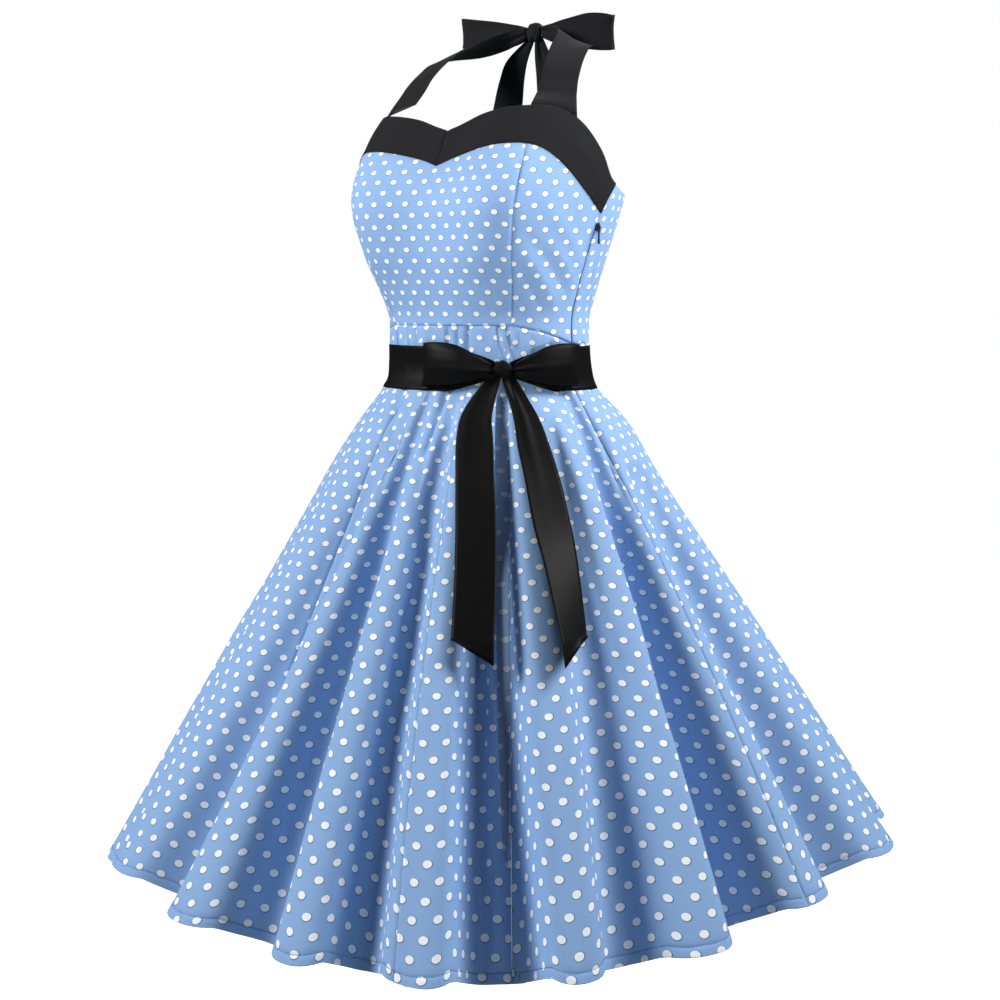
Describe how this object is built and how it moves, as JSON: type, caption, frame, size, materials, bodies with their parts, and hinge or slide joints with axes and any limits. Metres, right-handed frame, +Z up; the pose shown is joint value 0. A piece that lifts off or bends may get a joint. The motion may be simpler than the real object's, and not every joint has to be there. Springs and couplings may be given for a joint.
{
  "type": "halter dress",
  "caption": "A-line halter dress with a fitted sweetheart bodice, a full gored skirt with soft folds, a ribbon sash tied in a bow, and a side zip.",
  "frame": {"origin": "middle of the wearer's waist, level with the middle of the sash, where the wearer holds the dress up", "axes": "+Z up towards the neck, -Y the front of the dress, +X the wearer's left"},
  "size_m": [0.8606, 0.8497, 0.9101],
  "materials": {
    "dotted_cotton": "matte sky blue cotton with white dots",
    "black_cotton": "matte",
    "black_satin": "satin",
    "navy_tape": "matte",
    "zip_metal": "satin"
  },
  "bodies": {
    "dress": {"bodice_front_center": "dotted_cotton", "bodice_side_front_left": "dotted_cotton", "bodice_side_front_right": "dotted_cotton", "bodice_back": "dotted_cotton", "skirt_side_back_right": "dotted_cotton", "skirt_side_front_right": "dotted_cotton", "skirt_inset_right": "dotted_cotton", "skirt_front": "dotted_cotton", "skirt_inset_left": "dotted_cotton", "skirt_side_front_left": "dotted_cotton", "skirt_side_back_left": "dotted_cotton", "skirt_back": "dotted_cotton", "bust_band_left": "black_cotton", "bust_band_right": "black_cotton", "halter_strap_left": "black_cotton", "halter_strap_right": "black_cotton", "neck_knot": "black_cotton", "neck_loop_left": "black_cotton", "neck_loop_right": "black_cotton", "neck_tail_left": "black_cotton", "neck_tail_right": "black_cotton", "sash_band": "black_satin", "sash_knot": "black_satin", "sash_loop_left": "black_satin", "sash_loop_right": "black_satin", "sash_tail_left": "black_satin", "sash_tail_right": "black_satin", "zip_tape": "navy_tape", "zip_slider": "zip_metal"},
    "pull": {"zip_pull": "zip_metal"}
  },
  "joints": [
    {"name": "zip_pull_swing", "type": "hinge", "parent": "dress", "child": "pull", "pos_m": [0.14551, -0.01249, 0.14219], "axis": [-0.1491, -0.9888, 0], "range_deg": [-8, 140]}
  ]
}
